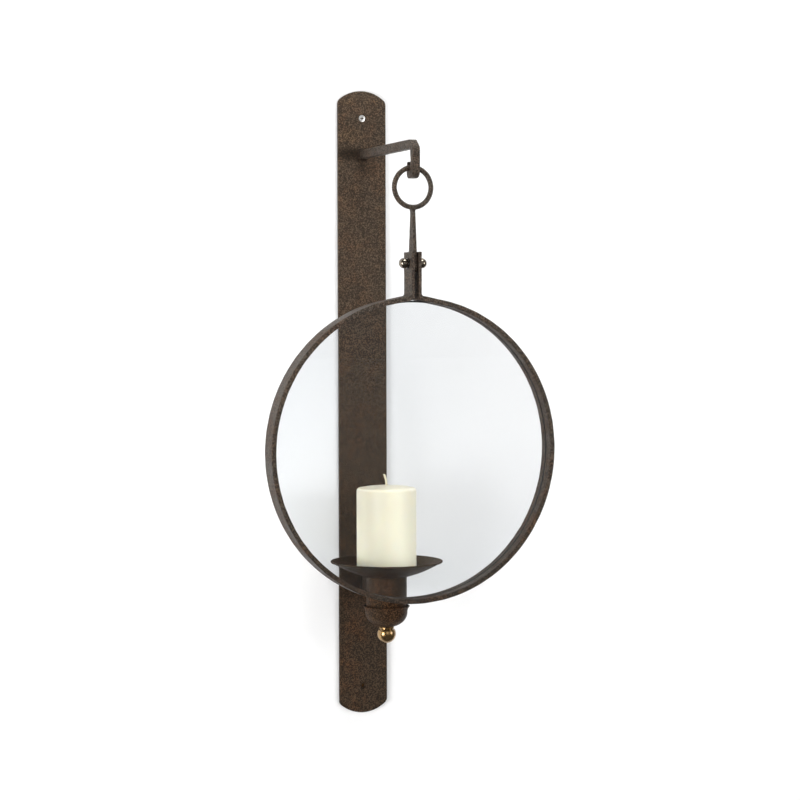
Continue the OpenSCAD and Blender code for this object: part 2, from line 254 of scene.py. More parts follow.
class Paint:
    """One material's node tree, built a node at a time."""

    def __init__(self, name):
        self.material = bpy.data.materials.new(name)
        self.material.use_nodes = True
        self.tree = self.material.node_tree
        self.tree.nodes.clear()
        self.output = self.tree.nodes.new("ShaderNodeOutputMaterial")
        self.shader = self.tree.nodes.new("ShaderNodeBsdfPrincipled")
        self.tree.links.new(self.shader.outputs["BSDF"], self.output.inputs["Surface"])
        self.coords = self.tree.nodes.new("ShaderNodeTexCoord").outputs["Object"]

    def put(self, node, key, value):
        socket = node.inputs[key]
        if isinstance(value, bpy.types.NodeSocket):
            self.tree.links.new(value, socket)
        else:
            socket.default_value = value

    def stretch(self, scale):
        node = self.tree.nodes.new("ShaderNodeMapping")
        self.put(node, "Vector", self.coords)
        self.put(node, "Scale", scale)
        return node.outputs["Vector"]

    def noise(self, scale, detail=3.0, roughness=0.55, vector=None, distortion=0.0):
        node = self.tree.nodes.new("ShaderNodeTexNoise")
        self.put(node, "Vector", vector or self.coords)
        self.put(node, "Scale", scale)
        self.put(node, "Detail", detail)
        self.put(node, "Roughness", roughness)
        self.put(node, "Distortion", distortion)
        return node.outputs["Fac"]

    def ramp(self, factor, lo, hi, out_lo=0.0, out_hi=1.0):
        node = self.tree.nodes.new("ShaderNodeMapRange")
        node.interpolation_type = "SMOOTHSTEP"
        for key, value in (("Value", factor), ("From Min", lo), ("From Max", hi)):
            self.put(node, key, value)
        self.put(node, "To Min", out_lo)
        self.put(node, "To Max", out_hi)
        return node.outputs["Result"]

    def spot(self, centre, radii):
        """1 at a centre, fading to 0 at the edge of an ellipsoid. Both are in millimetres."""
        place = self.tree.nodes.new("ShaderNodeMapping")
        self.put(place, "Vector", self.coords)
        self.put(place, "Scale", tuple(1 / (r * MM) for r in radii))
        self.put(place, "Location", tuple(-c / r for c, r in zip(centre, radii)))
        fade = self.tree.nodes.new("ShaderNodeTexGradient")
        fade.gradient_type = "SPHERICAL"
        self.put(fade, "Vector", place.outputs["Vector"])
        return fade.outputs["Fac"]

    def axis(self, name):
        node = self.tree.nodes.new("ShaderNodeSeparateXYZ")
        self.put(node, "Vector", self.coords)
        return node.outputs[name]

    def math(self, operation, a, b):
        node = self.tree.nodes.new("ShaderNodeMath")
        node.operation = operation
        self.put(node, 0, a)
        self.put(node, 1, b)
        return node.outputs["Value"]

    def mix(self, factor, a, b, blend="MIX"):
        node = self.tree.nodes.new("ShaderNodeMix")
        node.data_type, node.blend_type = "RGBA", blend
        self.put(node, 0, factor)
        for key, value in ((6, a), (7, b)):
            if not isinstance(value, bpy.types.NodeSocket):
                value = (*value, 1.0)
            self.put(node, key, value)
        return node.outputs[2]

    def bump(self, height, distance, strength=1.0, normal=None):
        node = self.tree.nodes.new("ShaderNodeBump")
        self.put(node, "Height", height)
        self.put(node, "Distance", distance)
        self.put(node, "Strength", strength)
        if normal:
            self.put(node, "Normal", normal)
        return node.outputs["Normal"]

    def set(self, **values):
        for key, value in values.items():
            key = key.replace("_", " ")
            if isinstance(value, tuple) and len(value) == 3 and "Radius" not in key:
                value = (*value, 1.0)
            self.put(self.shader, key, value)
        return self.material


def iron(
    name, base, rust, dark, rust_amount=0.35, grain=660.0, gloss=0.3,
    low_shade=0.68, tint=(1.0, 0.85, 0.68), marks_and_shading=(),
):
    """Textured dark iron: crisp grain, specks, and rust mottles, darker and redder lower down."""
    p = Paint(name)
    fine = p.noise(grain, 1.0, 0.5)
    specks = p.noise(grain * 1.7, 1.5, 0.6)
    mottles = p.noise(30.0, 5.0, 0.62, distortion=0.4)
    broad = p.noise(7.0, 2.0, 0.5)
    low = p.ramp(p.axis("Z"), 0.12, -0.30)
    rusty = p.math("MULTIPLY", p.ramp(mottles, 0.46, 0.72), p.ramp(low, 0.0, 1.0, 0.55, 1.0))
    rusty = p.math("MULTIPLY", rusty, rust_amount)
    colour = p.mix(rusty, base, rust)
    colour = p.mix(p.ramp(broad, 0.35, 0.75, 0.0, 0.3), colour, dark)
    # Each spot mixes a colour in over a soft ellipsoid: some are rust mottles, others painted shadows or a
    # painted lit patch.
    for centre, radii, paint, amount in marks_and_shading:
        colour = p.mix(p.ramp(p.spot(centre, radii), 0.0, 0.7, 0.0, amount), colour, paint)
    light = p.mix(1.0, colour, (3.0, 2.9, 2.75), "MULTIPLY")
    colour = p.mix(p.ramp(fine, 0.51, 0.63, 0.0, 0.7), colour, light)
    colour = p.mix(p.ramp(fine, 0.50, 0.40, 0.0, 0.75), colour, dark)
    flecks = p.math("MULTIPLY", p.ramp(specks, 0.58, 0.68), p.ramp(mottles, 0.38, 0.62, 0.15, 0.8))
    colour = p.mix(flecks, colour, tuple(r * 0.9 + b * 1.6 for r, b in zip(rust, base)))
    colour = p.mix(low, colour, (low_shade, low_shade * 0.93, low_shade * 0.85), "MULTIPLY")
    peel = p.bump(fine, 0.0009, 0.65)
    peel = p.bump(p.noise(95.0, 2.0, 0.5), 0.0012, 0.35, peel)
    return p.set(
        Base_Color=colour,
        Roughness=p.ramp(mottles, 0.3, 0.7, 0.46, 0.64),
        Normal=peel,
        Specular_IOR_Level=gloss,
        Specular_Tint=tint,
    )


IRON = (0.0435, 0.0303, 0.0210)
RUST = (0.100, 0.042, 0.017)
SOOT = (0.013, 0.009, 0.0065)
BAR = (0.041, 0.0325, 0.0255)
HOLLOW = (0.027, 0.0182, 0.0112)
TUBE = (0.037, 0.0222, 0.0128)
DEEP_SOOT_AND_SHADOW = (0.009, 0.006, 0.004)
TAN = (0.092, 0.057, 0.031)
PAN_SHADOW_BROWN = (0.026, 0.0125, 0.0065)
GREY_TINT = (1.0, 0.92, 0.84)
PLATE_MOTTLES_AND_SHADOWS = (
    ((-16, -4, 330), (24, 20, 14), TAN, 0.34),
    ((-20, -4, 372), (14, 20, 9), TAN, 0.30),
    ((12, -4, 371), (18, 20, 9), TAN, 0.15),
    # Painted shadows of the hook arm: one to its left, partly real soot round its weld, and one below it.
    ((-12, -4, 307), (34, 20, 11), DEEP_SOOT_AND_SHADOW, 0.9),
    ((6, -4, 296), (20, 20, 22), DEEP_SOOT_AND_SHADOW, 0.5),
    # Painted shadow of the drip pan on the plate.
    ((4, -4, -222), (48, 20, 42), PAN_SHADOW_BROWN, 0.75),
)
# Painted shade inside the hook's saddle, where it bends round the ring.
BAR_SADDLE_SHADOW = (((0, -157, 281), (14, 13, 14), DEEP_SOOT_AND_SHADOW, 0.9),)
# Painted light: a lighter patch on the pan's inner right side, where it catches the lamps.
PAN_LIT_PATCH = (((50, -70, -188), (34, 60, 16), (0.062, 0.047, 0.033), 0.9),)

plate_iron = iron("plate_iron", IRON, RUST, SOOT, 0.4, marks_and_shading=PLATE_MOTTLES_AND_SHADOWS)
bar_iron = iron("bar_iron", BAR, RUST, SOOT, 0.22, 590.0, gloss=0.32, tint=GREY_TINT, marks_and_shading=BAR_SADDLE_SHADOW)
hoop_iron = iron("hoop_iron", BAR, RUST, SOOT, 0.4, 590.0, gloss=0.32, low_shade=0.55, tint=GREY_TINT)
pan_iron = iron("pan_iron", HOLLOW, RUST, DEEP_SOOT_AND_SHADOW, 0.2, 580.0, gloss=0.12, low_shade=0.85, marks_and_shading=PAN_LIT_PATCH)
tube_iron = iron("tube_iron", TUBE, RUST, DEEP_SOOT_AND_SHADOW, 0.5, gloss=0.13, low_shade=0.85)
weld_iron = iron("weld_iron", (0.014, 0.010, 0.008), (0.06, 0.026, 0.013), DEEP_SOOT_AND_SHADOW, 0.5, 700.0, gloss=0.2)


def brass_paint(name, light, dark, rough, flange_shade_within=None):
    """Antique brass. Given a distance, it blackens closer than that to the middle, in millimetres along X:
    painted shade where a nut's flange sits against the ear.
    """
    p = Paint(name)
    clouds = p.noise(140.0, 4.0, 0.6)
    pits = p.noise(1500.0, 2.0, 0.5)
    colour = p.mix(p.ramp(clouds, 0.42, 0.66, 0.0, 0.75), light, dark)
    if flange_shade_within:
        out = p.math("ABSOLUTE", p.axis("X"), 0.0)
        # Painted shade on the flange, against the ear.
        flange_shade = p.ramp(out, (flange_shade_within + 0.5) * MM, flange_shade_within * MM)
        colour = p.mix(flange_shade, colour, (0.02, 0.016, 0.012))
    return p.set(
        Base_Color=colour,
        Metallic=1.0,
        Roughness=p.ramp(clouds, 0.35, 0.70, *rough),
        Normal=p.bump(pits, 0.00006, 0.4),
        Coat_Weight=0.7,
        Coat_Roughness=0.09,
    )


def steel_paint(name, base, dull, rough, recess_shade_from=None):
    """Plain steel. Given a depth, it darkens deeper than that towards the wall, in millimetres along Y:
    painted shade down in the screw's cross recess.
    """
    p = Paint(name)
    clouds = p.noise(220.0, 3.0, 0.6)
    lines = p.noise(60.0, 2.0, 0.5, p.stretch((1.0, 1.0, 30.0)))
    colour = p.mix(p.ramp(clouds, 0.4, 0.7, 0.0, 0.8), base, dull)
    if recess_shade_from:
        # Painted shade in the cross recess; the hidden shank behind it darkens the same way.
        deep = p.ramp(p.axis("Y"), recess_shade_from * MM, (recess_shade_from + 0.4) * MM)
        colour = p.mix(deep, colour, (0.10, 0.085, 0.07))
    return p.set(
        Base_Color=colour,
        Metallic=1.0,
        Roughness=p.ramp(clouds, 0.35, 0.70, *rough),
        Normal=p.bump(lines, 0.00008, 0.35),
    )


def rubber_paint():
    p = Paint("gasket_rubber")
    grain = p.noise(900.0, 3.0, 0.6)
    colour = p.mix(p.ramp(grain, 0.4, 0.65), (0.012, 0.012, 0.012), (0.026, 0.025, 0.024))
    return p.set(
        Base_Color=colour,
        Roughness=p.ramp(grain, 0.3, 0.7, 0.55, 0.75),
        Normal=p.bump(grain, 0.0002, 0.4),
    )


def glass_paint():
    p = Paint("glass")
    drift = p.noise(9.0, 2.0, 0.5)
    # Painted shade: the tint darkens towards the left and the bottom to stand in for the shadows on the wall
    # seen through the glass; drift adds random variation.
    across = p.math("ADD", p.ramp(p.axis("X"), -0.13, 0.13, -0.1, 0.9), p.ramp(drift, 0.3, 0.7, 0.0, 0.1))
    colour = p.mix(across, (0.812, 0.831, 0.848), (0.846, 0.858, 0.868))
    colour = p.mix(p.ramp(p.axis("Z"), -0.08, -0.22, 0.0, 0.5), colour, (0.785, 0.815, 0.832))
    return p.set(
        Base_Color=colour,
        Roughness=p.ramp(p.noise(60.0, 3.0, 0.5), 0.35, 0.65, 0.0, 0.006),
        IOR=1.47,
        Transmission_Weight=1.0,
        Normal=p.bump(drift, 0.0003, 0.03),
    )


def wax_paint():
    p = Paint("wax")
    clouds = p.noise(46.0, 2.0, 0.5, p.stretch((1.0, 1.0, 0.1)))
    skin = p.noise(260.0, 3.0, 0.55)
    # Painted light: the wax is paler towards the bottom and duller above, evening out the shade the drip pan
    # casts on its lower part.
    low = p.ramp(p.axis("Z"), -0.11, -0.20)
    colour = p.mix(low, (0.815, 0.765, 0.595), (0.940, 0.888, 0.690))
    colour = p.mix(p.ramp(clouds, 0.40, 0.64, 0.0, 0.35), colour, (0.91, 0.872, 0.71))
    return p.set(
        Base_Color=colour,
        Subsurface_Weight=0.6,
        Subsurface_Radius=(1.0, 0.85, 0.62),
        Subsurface_Scale=0.007,
        Roughness=p.ramp(clouds, 0.3, 0.7, 0.32, 0.44),
        IOR=1.44,
        # Painted glow: the unlit candle gives off a faint light towards its foot, standing in for light
        # carried through the wax.
        Emission_Color=(0.95, 0.88, 0.66),
        Emission_Strength=p.ramp(p.axis("Z"), -0.13, -0.20, 0.0, 0.07),
        Normal=p.bump(skin, 0.00025, 0.18),
    )


def cotton_paint():
    p = Paint("wick_cotton")
    fibre = p.noise(900.0, 4.0, 0.7, p.stretch((1.0, 1.0, 0.3)))
    colour = p.mix(p.ramp(fibre, 0.35, 0.65), (0.74, 0.66, 0.46), (0.93, 0.86, 0.68))
    return p.set(Base_Color=colour, Roughness=0.9, Sheen_Weight=0.3, Normal=p.bump(fibre, 0.0003, 0.6))


finial_brass = brass_paint("brass", (0.40, 0.245, 0.088), (0.16, 0.09, 0.034), (0.20, 0.32))
nut_brass = brass_paint("brass_dark", (0.20, 0.165, 0.122), (0.11, 0.088, 0.063), (0.18, 0.30), 7.5)
screw_steel = steel_paint("screw_steel", (0.92, 0.91, 0.89), (0.66, 0.65, 0.63), (0.26, 0.40), -3.5)
rod_steel = steel_paint("rod_steel", (0.40, 0.37, 0.33), (0.22, 0.19, 0.16), (0.35, 0.55))
gasket_rubber = rubber_paint()
glass = glass_paint()
wax = wax_paint()
wick_cotton = cotton_paint()

# ---------------------------------------- back plate

PLATE_END_R = 45.0
PLATE_FILLET = 8.0
PLATE_EDGE = 0.7
HOLE_Z = 352.0
HOLE_R = 2.5
SINK_R = 4.4
SINK_DEPTH = (SINK_R - HOLE_R) / math.tan(math.radians(41))
HOOK_BAR_W = hook_hi.x - hook_lo.x
HOOK_TOP = hook_hi.z
HOOK_ARM_H = 10.6
ARM_W = arm_hi.x - arm_lo.x
TENON_H = 14.0


def plate_outline(inset):
    """The plate's whole outline, its top end and the same turned half round, drawn in by inset."""
    half_w, half_h = plate_hi.x - inset, plate_hi.z - inset
    end_r, fillet = PLATE_END_R - inset, PLATE_FILLET - inset
    fillet_x, reach = half_w - fillet, end_r - fillet
    rise = math.sqrt(reach * reach - fillet_x * fillet_x)
    arc_z = half_h - end_r
    join = math.degrees(math.atan2(rise, fillet_x))
    top = arc(fillet_x, arc_z + rise, fillet, 0, join, 8)
    top += arc(0, arc_z, end_r, join, 180 - join, 48)[1:-1]
    top += arc(-fillet_x, arc_z + rise, fillet, 180 - join, 180, 8)
    return top + [(-x, -z) for x, z in top]


def rising(points, y):
    return [(x, y, z) for x, z in points]


def box_shape(lo, hi):
    x0, y0, z0 = lo
    x1, y1, z1 = hi
    ends = [[(x0, y, z0), (x1, y, z0), (x1, y, z1), (x0, y, z1)] for y in (y0, y1)]
    return loft(ends)


def build_plate():
    t = -PLATE_FRONT
    steps = [(0.35, 0.0), (0.1, 0.1), (0.0, 0.35), (0.0, t - PLATE_EDGE)]
    for k in range(1, 4):
        a = math.radians(30 * k)
        steps.append((PLATE_EDGE * (1 - math.cos(a)), t - PLATE_EDGE + PLATE_EDGE * math.sin(a)))
    plate = make_mesh("back_plate_strap", *loft([rising(plate_outline(i), -d) for i, d in steps]))
    cutters = []
    for z in (HOLE_Z, -HOLE_Z):
        profile = [
            (0, 1), (HOLE_R, 1), (HOLE_R, -t + SINK_DEPTH),
            (SINK_R, -t), (SINK_R + 0.25, -t - 0.15), (SINK_R + 0.25, -t - 1), (0, -t - 1),
        ]
        cutters.append(lathe(profile, lambda x, y, h, z=z: (x, h, z + y), 48, closed=False))
    w = HOOK_BAR_W / 2
    cutters.append(box_shape((-w, -t - 1, HOOK_TOP - HOOK_ARM_H), (w, 1, HOOK_TOP)))
    mid, w = (arm_lo.z + arm_hi.z) / 2, ARM_W / 2
    cutters.append(box_shape((-w, -t - 1, mid - TENON_H / 2), (w, 1, mid + TENON_H / 2)))
    carve(plate, cutters)
    finish_piece(plate, plate_iron, "bracket", ["back_plate"])


build_plate()

# ---------------------------------------- hook arm and candle arm

LEG_FRONT = -hook_lo.y
LEG_BACK = LEG_FRONT - 8.2
CORNER_CUT = 9.8
CORNER_R = 6.0
HOOK_UNDER = hook_lo.z
HOOK_OUT_R = 8.5
SADDLE_Z = 276.2
SADDLE_R = 3.3
TIP_BACK = 152.2
TIP_T = 4.2
TIP_TOP = 287.6
TIP_W = 4.6
BAR_EDGE = 0.7
RUN_END = 158
LEG_TOP, LEG_LOW = 295, 283


def hook_stations():
    """Pairs of outer and inner points of the bent bar, seen from the side as (out from the wall, z)."""
    arm_under = HOOK_TOP - HOOK_ARM_H
    ramp_end = TIP_BACK + TIP_T + 2
    bend = CORNER_R * math.tan(math.radians(22.5))
    rows = [
        (72, [(0, HOOK_TOP), (RUN_END, HOOK_TOP)], [(0, arm_under), (RUN_END, arm_under)]),
        (
            14,
            [(RUN_END, HOOK_TOP)]
            + arc(LEG_FRONT - CORNER_CUT - bend, HOOK_TOP - CORNER_R, CORNER_R, 90, 45, 6)
            + arc(LEG_FRONT - CORNER_R, HOOK_TOP - CORNER_CUT - bend, CORNER_R, 45, 0, 6)
            + [(LEG_FRONT, LEG_TOP)],
            rounded(
                [(RUN_END, arm_under, 0), (LEG_BACK, arm_under, 1.6), (LEG_BACK, LEG_TOP, 0)],
                closed=False,
            ),
        ),
        (6, [(LEG_FRONT, LEG_TOP), (LEG_FRONT, LEG_LOW)], [(LEG_BACK, LEG_TOP), (LEG_BACK, LEG_LOW)]),
        (
            12,
            [(LEG_FRONT, LEG_LOW)]
            + arc(LEG_FRONT - HOOK_OUT_R, HOOK_UNDER + HOOK_OUT_R, HOOK_OUT_R, 0, -90, 12),
            [(LEG_BACK, LEG_LOW)] + arc(LEG_BACK - SADDLE_R, SADDLE_Z + SADDLE_R, SADDLE_R, 0, -90, 8),
        ),
        (
            4,
            [(LEG_FRONT - HOOK_OUT_R, HOOK_UNDER), (TIP_BACK + HOOK_OUT_R, HOOK_UNDER)],
            [(LEG_BACK - SADDLE_R, SADDLE_Z), (ramp_end - 0.28, SADDLE_Z + 1.42)],
        ),
        (
            10,
            arc(TIP_BACK + HOOK_OUT_R, HOOK_UNDER + HOOK_OUT_R, HOOK_OUT_R, -90, -180, 10),
            arc(ramp_end, SADDLE_Z + 3.4, 2, 262, 180, 6),
        ),
        (
            7,
            [(TIP_BACK, HOOK_UNDER + HOOK_OUT_R), (TIP_BACK + 0.6, TIP_TOP - 1.2)],
            [(TIP_BACK + TIP_T, SADDLE_Z + 3.4), (TIP_BACK + TIP_T - 0.7, TIP_TOP - 1.2)],
        ),
    ]
    pairs = []
    for count, outer, inner in rows:
        fresh = list(zip(resample(outer, count), resample(inner, count)))
        pairs += fresh[1:] if pairs else fresh
    return pairs


def side_loop(outer, inner, width, shrink=0.0, lift=0.0):
    """One rounded cross-section of a bar between its outer and inner edge points."""
    o, i = Vector(outer), Vector(inner)
    mid, across = (o + i) / 2, o - i
    tall = across.length - 2 * shrink
    wide = width - 2 * shrink
    up = across.normalized()
    edge = max(0.15, min(BAR_EDGE - shrink, tall * 0.3, wide * 0.3))
    loop = []
    for a, b in bar_section(wide, tall, edge, 4, 3):
        p = mid + up * b
        loop.append((a, -p.x, p.y + lift))
    return loop


def build_hook():
    taper_from, taper_to = LEG_BACK - 4, TIP_BACK
    loops = []
    pairs = hook_stations()
    foot_from = next(k for k, (o, i) in enumerate(pairs) if o[1] < HOOK_UNDER + HOOK_OUT_R)
    for k, (outer, inner) in enumerate(pairs):
        out = (outer[0] + inner[0]) / 2
        t = min(1.0, max(0.0, (taper_from - out) / (taper_from - taper_to))) if k >= foot_from else 0.0
        loops.append(side_loop(outer, inner, HOOK_BAR_W + (TIP_W - HOOK_BAR_W) * t))
    outer, inner = pairs[-1]
    for shrink, lift in ((0.25, 0.6), (0.7, 1.0), (1.3, 1.2)):
        loops.append(side_loop(outer, inner, TIP_W + 0.2, shrink, lift))
    hook = make_mesh("hook_bar", *loft(loops))
    hammer(hook, 0.35, 9, 1)
    finish_piece(hook, bar_iron, "bracket", ["hook_arm"])


def weld_bead(name, path, radius, seed, body="bracket"):
    """A lumpy closed bead of weld metal along a ring of (x, y, z) points."""
    loops = []
    n = len(path)
    centre = sum((Vector(p) for p in path), Vector()) / n
    for k, p in enumerate(path):
        p = Vector(p)
        along = (Vector(path[(k + 1) % n]) - Vector(path[k - 1])).normalized()
        outward = (p - centre).normalized()
        side = along.cross(outward).normalized()
        outward = side.cross(along).normalized()
        r = radius * (0.86 + 0.3 * noise.noise(p * 0.35 + Vector((seed, 0, 0))))
        loops.append([tuple(p + outward * x + side * y) for x, y in circle(r, 12)])
    bead = make_mesh(name, *loft(loops, closed=True))
    finish_piece(bead, weld_iron, body, sharp=60)


def ring_of(width, height, y, z, corner=1.5):
    return [(a, y, z + b) for a, b in bar_section(width, height, corner, 6, 4)]


def build_candle_arm():
    """A flat bar on edge, with a narrower tenon through the plate."""
    mid, half = (arm_lo.z + arm_hi.z) / 2, (arm_hi.z - arm_lo.z) / 2
    tube_face = CANDLE_Y + (tube_hi.x - tube_lo.x) / 2
    end = tube_face - 0.45
    stations = [0.0, -1.5, -3.0, PLATE_FRONT - 0.02]
    loops = [[(x, y, mid + z) for x, z in bar_section(ARM_W, TENON_H, 0.5, 3, 3)] for y in stations]
    count = 24
    for k in range(count + 1):
        y = PLATE_FRONT - 0.03 + (end - PLATE_FRONT) * k / count
        loops.append([(x, y, mid + z) for x, z in bar_section(ARM_W, 2 * half, 0.9, 3, 3)])
    arm = make_mesh("candle_arm_bar", *loft(loops))
    hammer(arm, 0.25, 9, 2)
    finish_piece(arm, bar_iron, "bracket", ["candle_arm"])
    weld_bead("candle_arm_wall_weld", ring_of(ARM_W + 0.6, 2 * half + 0.6, PLATE_FRONT - 0.5, mid), 1.5, 3)
    weld_bead("candle_arm_tube_weld", ring_of(ARM_W + 0.4, 2 * half + 0.2, tube_face + 0.55, mid), 1.2, 5)


build_hook()
weld_bead(
    "hook_arm_weld",
    ring_of(HOOK_BAR_W + 1.0, HOOK_ARM_H + 1.0, PLATE_FRONT - 0.6, HOOK_TOP - HOOK_ARM_H / 2),
    1.9,
    1,
)
build_candle_arm()

# ---------------------------------------- wall screw

NECK_R = 2.3
SHANK_R = 2.1
SHANK_END = 26.0
THREAD_DEPTH = 0.55
THREAD_PITCH = 1.8
POINT_LEN = 6.0
RECESS_HALF, RECESS_W, RECESS_DEPTH = 2.4, 1.1, 1.5


def build_screw():
    """A countersunk screw with a cross recess and a helical thread behind the plate."""
    per_turn, rise = 32, 0.15
    sunk = PLATE_FRONT + SINK_DEPTH
    head = [
        (0.0, PLATE_FRONT), (2.2, PLATE_FRONT + 0.02), (3.2, PLATE_FRONT + 0.09),
        (SINK_R - 0.35, PLATE_FRONT + 0.22), (SINK_R, PLATE_FRONT + 0.5),
        (HOLE_R - 0.05, sunk), (NECK_R, sunk + 0.1), (NECK_R, 0.2),
    ]
    rows = int((SHANK_END - 0.4) / rise)
    verts, faces = [], []
    for s in range(per_turn):
        turn = s / per_turn
        a = 2 * math.pi * turn
        profile = list(head)
        for k in range(rows + 1):
            y = 0.3 + rise * k
            core = SHANK_R
            if y > SHANK_END - POINT_LEN:
                core = max(0.3, SHANK_R * (SHANK_END - y) / POINT_LEN)
            phase = (y / THREAD_PITCH - turn) % 1.0
            ridge = max(0.0, 1 - abs(phase - 0.5) / 0.28)
            profile.append((core - THREAD_DEPTH * (1 - ridge) * min(1.0, core / SHANK_R), y))
        profile.append((0.0, SHANK_END - 0.1))
        verts += [(r * math.cos(a), y, HOLE_Z + r * math.sin(a)) for r, y in profile]
        n = len(profile)
    for s in range(per_turn):
        a, b = s * n, (s + 1) % per_turn * n
        faces += [(a + j, a + j + 1, b + j + 1, b + j) for j in range(n - 1)]
    screw = make_mesh("wall_screw_threaded", verts, faces)
    slots = []
    for half_x, half_z in ((RECESS_HALF, RECESS_W / 2), (RECESS_W / 2, RECESS_HALF)):
        cross = []
        for y, keep in ((PLATE_FRONT - 1, 1.0), (PLATE_FRONT, 1.0), (PLATE_FRONT + RECESS_DEPTH, 0.62)):
            kx = half_x * (keep if half_x > half_z else 1)
            kz = half_z * (keep if half_z > half_x else 1)
            around = ((-kx, -kz), (kx, -kz), (kx, kz), (-kx, kz))
            cross.append([(x, y, HOLE_Z + z) for x, z in around])
        slots.append(loft(cross))
    carve(screw, slots)
    finish_piece(screw, screw_steel, "bracket", ["wall_screw"], sharp=30)


build_screw()

# ---------------------------------------- hanging ring and stem

RING_Z = (ring_lo.z + ring_hi.z) / 2
RING_BAR_R = (ring_hi.y - ring_lo.y) / 2
RING_MID_R = (ring_hi.x - ring_lo.x) / 2 - RING_BAR_R
STEM_W = stem_hi.y - stem_lo.y
STEM_T = 4.2
STEM_TOP_W, STEM_TOP_T = 7.2, 3.6
RUNNING = 0.05


def hung(x, y, h, z):
    return (x, HANG_Y + h, z + y)


def along_pin(side):
    return lambda x, y, h: (side * h, HANG_Y + x, PIN_Z + y)


def pin_bore(reach):
    """A cutter for the pin's hole, reaching as far on both sides of the middle."""
    r = PIN_R + RUNNING
    return lathe([(0, -reach), (r, -reach), (r, reach), (0, reach)], along_pin(1), 40, closed=False)


def build_ring():
    section = [(RING_MID_R + x, y) for x, y in circle(RING_BAR_R, 24)]
    ring = make_mesh("hanging_ring_bar", *lathe(section, lambda x, y, h: hung(x, y, h, RING_Z), 144))
    hammer(ring, 0.22, 7, 4)
    finish_piece(ring, bar_iron, "hanger", ["hanging_ring"])


def build_stem():
    """A flat strap that narrows to the ring and flares out into its weld."""
    low, shoulder = stem_lo.z, PIN_Z + 8
    top = RING_Z - RING_MID_R - 1.0
    foot = ((0, 4.4), (0.5, 3), (1.2, 1.4), (2.2, 0))
    rows = [(low + lift, STEM_W - narrower, STEM_T) for lift, narrower in foot]
    for k in range(1, 9):
        z = low + 2.2 + (shoulder - low - 2.2) * k / 8
        rows.append((z, STEM_W, STEM_T))
    count = 34
    for k in range(1, count + 1):
        t = k / count
        z = shoulder + (top - shoulder) * t
        w = STEM_W + (STEM_TOP_W - STEM_W) * t
        thick = STEM_T + (STEM_TOP_T - STEM_T) * t
        flare = max(0.0, (z - (top - 5.0)) / 5.0) ** 2
        rows.append((z, w + 2.4 * flare, thick + 3.0 * flare))
    loops = []
    for z, w, thick in rows:
        loops.append([(x, HANG_Y + y, z) for x, y in bar_section(thick, w, 0.5, 4, 3)])
    stem = make_mesh("ring_stem_strap", *loft(loops))
    hammer(stem, 0.2, 8, 6)
    carve(stem, [pin_bore(STEM_T)])
    finish_piece(stem, bar_iron, "hanger", ["ring_stem"])


build_ring()
build_stem()

# ---------------------------------------- hoop, glass and pin

HOOP_R = (hoop_hi.x - hoop_lo.x) / 2
HOOP_T = 5.6
HOOP_END_SLOPE = 11.5
HOOP_END_DIST = HOOP_R * math.cos(math.radians(1.0))
HOOP_IN_R = HOOP_R - HOOP_T
HOOP_Z = hoop_lo.z + HOOP_R
HOOP_DEPTH = hoop_hi.y - hoop_lo.y
EAR_GAP = 5.2
EAR_X = nut_lo.x
EAR_TOP = hoop_hi.z
EAR_FILLET = 3.0
GROOVE_DEPTH = gasket_hi.x - HOOP_IN_R
NO_GROOVE = 0.01
HOOP_EDGE = 0.55
GLASS_Y = (glass_lo.y + glass_hi.y) / 2
GLASS_R = (glass_hi.x - glass_lo.x) / 2
GLASS_T = glass_hi.y - glass_lo.y


def hoop_loop(outer, inner, groove=None, inset=0.0):
    """One cross-section of the hoop's flat bar, with the glass groove in its inner face."""
    o, i = Vector(outer), Vector(inner)
    along = (i - o).normalized()
    t = (i - o).length - inset
    half = HOOP_DEPTH / 2 - inset
    r = max(0.1, HOOP_EDGE - inset)
    into = Vector(groove) if groove else Vector((0, 0))
    g0, g1 = gasket_lo.y - HANG_Y, gasket_hi.y - HANG_Y
    face = [-half + r + (2 * half - 2 * r) * k / 7 for k in range(8)]
    points = [(inset, y, 0) for y in face]
    points += [(x, y, 0) for x, y in arc(inset + r, half - r, r, 180, 90, 3)[1:]]
    points += [(x, y, 0) for x, y in arc(t - r, half - r, r, 90, 0, 3)]
    points += [(t, (half - r + g1) / 2, 0), (t, g1, 0), (t, g1, 1), (t, g0, 1), (t, g0, 0)]
    for k in (1, 2, 3):
        points.append((t, g0 + (-half + r - g0) * k / 4, 0))
    points += [(x, y, 0) for x, y in arc(t - r, -half + r, r, 0, -90, 3)]
    points += [(x, y, 0) for x, y in arc(inset + r, -half + r, r, -90, -180, 3)[:-1]]
    loop = []
    for s, y, deep in points:
        p = o + along * s + into * (GROOVE_DEPTH * deep)
        loop.append((p.x, HANG_Y + y, p.y))
    return loop


def hoop_radius(degrees, inset=0.0):
    """Distance of the hoop's outline from its centre: round, with two straight ends that rise to the ears."""
    from_top = abs((degrees + 90) % 360 - 180)
    r = HOOP_R - inset
    if from_top < HOOP_END_SLOPE:
        r = max(r, (HOOP_END_DIST - inset) / math.cos(math.radians(HOOP_END_SLOPE - from_top)))
    return r


def hoop_point(degrees, inset=0.0):
    r, a = hoop_radius(degrees, inset), math.radians(degrees)
    return (r * math.cos(a), HOOP_Z + r * math.sin(a))


def end_height(x, inset=0.0):
    """Height of a straight end's face at a distance x from the middle."""
    a = math.radians(HOOP_END_SLOPE)
    return HOOP_Z + (HOOP_END_DIST - inset - x * math.sin(a)) / math.cos(a)


